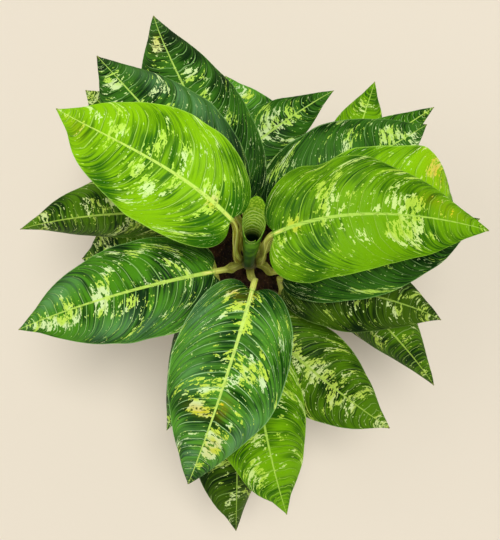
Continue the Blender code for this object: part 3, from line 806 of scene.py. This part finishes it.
def make_rolled_leaf():
    """A leaf still rolled: a spiral sheet that widens to a slanting mouth, low in front and tall behind."""
    foot = np.array(ROLL_FOOT)
    axis = unit(np.array(ROLL_LEAN))
    side = level_side(axis)
    front = np.cross(side, axis)
    t = np.linspace(0, 1, ROLL_ROWS + 1)[:, None]
    wound = ROLL_TURNS * (np.linspace(0, 1, ROLL_COLUMNS + 1) - 0.5)
    angle = tau * wound - pi / 2
    radius = ROLL_FOOT_RADIUS + (ROLL_MOUTH_RADIUS - ROLL_FOOT_RADIUS) * t + ROLL_PITCH * wound
    reach = (ROLL_FRONT + (ROLL_BACK - ROLL_FRONT) * (1 - np.sin(angle)) / 2) * t
    middle = foot + axis * reach[..., None]
    out = side * np.cos(angle)[:, None] + front * np.sin(angle)[:, None]
    half = ROLL_THICKNESS / 2
    outer = middle + out * (radius + half)[..., None]
    inner = middle + out * (radius - half)[..., None]
    points = np.concatenate((outer, inner[:, ::-1]), axis=1)
    mesh = ring_mesh("rolled_leaf", points)
    add_attribute(mesh, "reach", np.concatenate((reach, reach[:, ::-1]), axis=1))
    inside = np.zeros(points.shape[:2])
    inside[:, ROLL_COLUMNS + 1 :] = 1
    add_attribute(mesh, "inside", inside)
    add_piece("rolled_leaf_look", mesh, roll_material(), "rolled_leaf")


def cane_material():
    """Olive green bark, paler and browner in rings where leaves once sat."""
    graph = Graph("cane_bark")
    ring = graph.attribute("ring")
    grain = graph.noise(graph.position(), 180.0, 4.0)
    green = graph.mix(grain, screen_colour(58, 64, 24), screen_colour(104, 108, 46))
    graph.set("Base Color", graph.mix(graph.math("MULTIPLY", ring, 0.8), green, screen_colour(122, 106, 66)))
    graph.set("Roughness", 0.6)
    graph.bump(grain, 0.0008)
    return graph.material


def make_cane(shoot, material):
    """A cane with raised rings, closed by a low dome."""
    name = f"{shoot.name}_cane"
    low, high = shoot.route[0][2], shoot.route[-1][2]
    heights = np.arange(low, high, CANE_STEP / MM)
    angle = np.linspace(0, tau, CANE_SIDES, endpoint=False)
    circle = np.stack((np.cos(angle), np.sin(angle), 0 * angle), axis=1)
    rings, marks = [], []
    for height in heights:
        middle, radius = cane_at(shoot, height)
        turn = abs((height * MM / CANE_RING_SPACING) % 1 - 0.5) * 2
        mark = ease((turn - 0.75) / 0.25)
        rings.append(middle + circle * (radius + CANE_RING_HEIGHT * mark))
        marks.append(mark)
    middle, radius = cane_at(shoot, high)
    for share in (0.0, 0.35, 0.7, 0.9):
        rings.append(middle + circle * radius * (1 - share**2) ** 0.5 + UP * radius * 0.5 * share)
        marks.append(0.0)
    mesh = ring_mesh(name, np.array(rings))
    add_attribute(mesh, "ring", np.repeat(marks, CANE_SIDES))
    add_piece(name + "_look", mesh, material, name)


def pot_wall_radius(height):
    """The outer radius of the tapered wall at a height."""
    return POT_BASE_RADIUS + (POT_TOP_RADIUS - POT_BASE_RADIUS) * height / POT_HEIGHT


def turned_mesh(name, profile, sides):
    """A turned shape: (radius, height) points from under its middle, up its outer side and back to its middle."""
    angle = np.linspace(0, tau, sides, endpoint=False)
    radius, height = np.array(profile).T[:, :, None]
    points = np.stack((radius * np.cos(angle), radius * np.sin(angle), height + 0 * angle), axis=-1)
    return ring_mesh(name, points)


def rounded(profile, steps=4):
    """A profile with an arc-like curve at each corner between its ends."""
    points = [np.array(place) for place in profile]
    result = [points[0]]
    for before, corner, after in zip(points, points[1:], points[2:]):
        ways = [place - corner for place in (before, after)]
        reach = min(POT_ROUNDING, *(np.linalg.norm(way) / 2 for way in ways))
        start, end = (corner + unit(way) * reach for way in ways)
        for i in range(steps + 1):
            t = i / steps
            result.append(start * (1 - t) ** 2 + corner * (2 * t * (1 - t)) + end * t**2)
    return result + [points[-1]]


def soil_material():
    """Dark brown crumbs with paler bits among them."""
    graph = Graph("potting_soil")
    grain = graph.noise(graph.position(), 320.0, 5.0)
    patch = graph.noise(graph.position(), 60.0, 2.0)
    brown = graph.mix(graph.step(patch, 0.35, 0.7), screen_colour(40, 22, 14), screen_colour(92, 58, 38))
    graph.set("Base Color", graph.mix(graph.step(grain, 0.58, 0.7), brown, screen_colour(132, 94, 64)))
    graph.set("Roughness", graph.add(0.8, graph.times(patch, 0.3)))
    graph.bump(grain, 0.002)
    return graph.material


def clod_height(x, y):
    """The height of the lumps of soil at a place: round clods with finer crumbs on them."""
    place = Vector((x, y, 0.0)) / CLOD_SIZE
    nearest = noise.voronoi(place)[0][0]
    return CLOD_HEIGHT * max(1 - nearest * nearest * 2, 0.0) + CLOD_HEIGHT / 3 * noise.noise(place * 3)


def make_soil():
    """Soil with a crumbly crown, filling the pot below it."""
    top_radius = pot_wall_radius(SOIL_LEVEL) - POT_WALL - 2 * GAP
    foot_radius = pot_wall_radius(SOIL_FOOT) - POT_WALL - 2 * GAP
    bottom = POT_FLOOR + GAP
    profile = [(top_radius * 0.01, bottom), (foot_radius - SOIL_CORNER, bottom), (foot_radius, SOIL_FOOT)]
    for share in np.linspace(1, 0.01, SOIL_RINGS):
        profile.append((top_radius * share, SOIL_LEVEL + SOIL_CROWN * (1 - share**2)))
    mesh = turned_mesh("soil", profile, SOIL_SIDES)
    for vertex in mesh.vertices:
        if vertex.co.z > SOIL_FOOT + GAP:
            vertex.co.z += clod_height(vertex.co.x, vertex.co.y)
    add_piece("soil_look", mesh, soil_material(), "soil")


def clay_material():
    """Fired clay: cloudy orange brown with pale grains."""
    graph = Graph("fired_clay")
    cloud = graph.noise(graph.position(), 14.0, 4.0)
    grain = graph.noise(graph.position(), 300.0, 4.0)
    clay = graph.mix(graph.step(cloud, 0.3, 0.7), screen_colour(158, 84, 52), screen_colour(194, 118, 80))
    graph.set("Base Color", graph.mix(graph.step(grain, 0.6, 0.75), clay, screen_colour(214, 158, 122)))
    graph.set("Roughness", graph.add(0.75, graph.times(cloud, 0.2)))
    graph.bump(grain, 0.0005)
    return graph.material


def make_pot():
    """A clay pot with a stepped rim, rounded edges and drain holes."""
    rim_foot = POT_HEIGHT - RIM_HEIGHT
    rim_foot_radius = pot_wall_radius(rim_foot)
    axis_radius = 0.001
    profile = rounded([
        (axis_radius, 0.0),
        (POT_BASE_RADIUS, 0.0),
        (rim_foot_radius, rim_foot),
        (rim_foot_radius + RIM_STEP, rim_foot),
        (POT_TOP_RADIUS + RIM_STEP, POT_HEIGHT),
        (POT_TOP_RADIUS - POT_WALL, POT_HEIGHT),
        (pot_wall_radius(POT_FLOOR) - POT_WALL, POT_FLOOR),
        (axis_radius, POT_FLOOR),
    ])
    mesh = turned_mesh("pot", profile, POT_SIDES)
    pot = add_piece("pot_look", mesh, clay_material(), "pot")
    for i in range(DRAIN_HOLES):
        angle = tau * (i + 0.5) / DRAIN_HOLES
        bpy.ops.mesh.primitive_cylinder_add(vertices=48, radius=DRAIN_RADIUS, depth=4 * POT_FLOOR)
        drill = bpy.context.object
        drill.location = (DRAIN_CIRCLE * np.cos(angle), DRAIN_CIRCLE * np.sin(angle), 0.0)
        hole = pot.modifiers.new("hole", "BOOLEAN")
        hole.object = drill
        bpy.context.view_layer.objects.active = pot
        bpy.ops.object.modifier_apply(modifier=hole.name)
        bpy.data.objects.remove(drill)


def plain_material(name, colour, roughness):
    graph = Graph(name)
    graph.set("Base Color", colour)
    graph.set("Roughness", roughness)
    return graph.material


def make_sky():
    """Soft light all round, brighter near the horizon than overhead."""
    world = bpy.data.worlds.new("room")
    bpy.context.scene.world = world
    world.use_nodes = True
    nodes, links = world.node_tree.nodes, world.node_tree.links
    height = nodes.new("ShaderNodeSeparateXYZ")
    links.new(nodes.new("ShaderNodeTexCoord").outputs["Generated"], height.inputs[0])
    strength = nodes.new("ShaderNodeMapRange")
    strength.inputs["From Min"].default_value = 0.0
    strength.inputs["From Max"].default_value = 1.0
    strength.inputs["To Min"].default_value = SKY_AT_HORIZON
    strength.inputs["To Max"].default_value = SKY_OVERHEAD
    links.new(height.outputs["Z"], strength.inputs["Value"])
    sky = nodes["Background"]
    sky.inputs["Color"].default_value = (0.97, 0.99, 1.0, 1.0)
    links.new(strength.outputs["Result"], sky.inputs["Strength"])


def make_sun(name, direction, angle, strength):
    """A broad lamp far away in a direction."""
    light = bpy.data.lights.new(name, "SUN")
    light.angle = angle
    light.energy = strength
    lamp = bpy.data.objects.new(name, light)
    lamp.rotation_euler = Vector(direction).to_track_quat("Z", "Y").to_euler()
    bpy.context.scene.collection.objects.link(lamp)


def make_room():
    """A pale floor, soft light from above and behind, and a camera that looks straight down."""
    bpy.ops.mesh.primitive_plane_add(size=FLOOR_SIZE)
    floor = bpy.context.object
    floor.name = "floor"
    floor.data.materials.append(plain_material("floor_pale", screen_colour(226, 214, 194), 0.6))

    make_sky()
    make_sun("window", (0.08, 0.18, 1.0), radians(26), 2.05)
    make_sun("fill", (-0.9, 0.1, 0.9), radians(40), 0.4)

    bpy.context.scene.view_settings.view_transform = "Standard"
    camera = bpy.data.cameras.new("camera")
    camera.sensor_fit = "HORIZONTAL"
    camera.sensor_width = SENSOR_WIDTH
    camera.lens = LENS
    eye = bpy.data.objects.new("camera", camera)
    eye.location = CAMERA_PLACE
    bpy.context.scene.collection.objects.link(eye)
    bpy.context.scene.camera = eye


def main():
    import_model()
    make_pot()
    make_soil()
    bark = cane_material()
    seed = 0
    for shoot in SHOOTS:
        make_cane(shoot, bark)
        for i, leaf in enumerate(shoot.leaves):
            seed += 1
            make_leaf(f"{shoot.name}_leaf_{i + 1}", leaf, shoot, seed)
    make_rolled_leaf()
    make_room()


main()
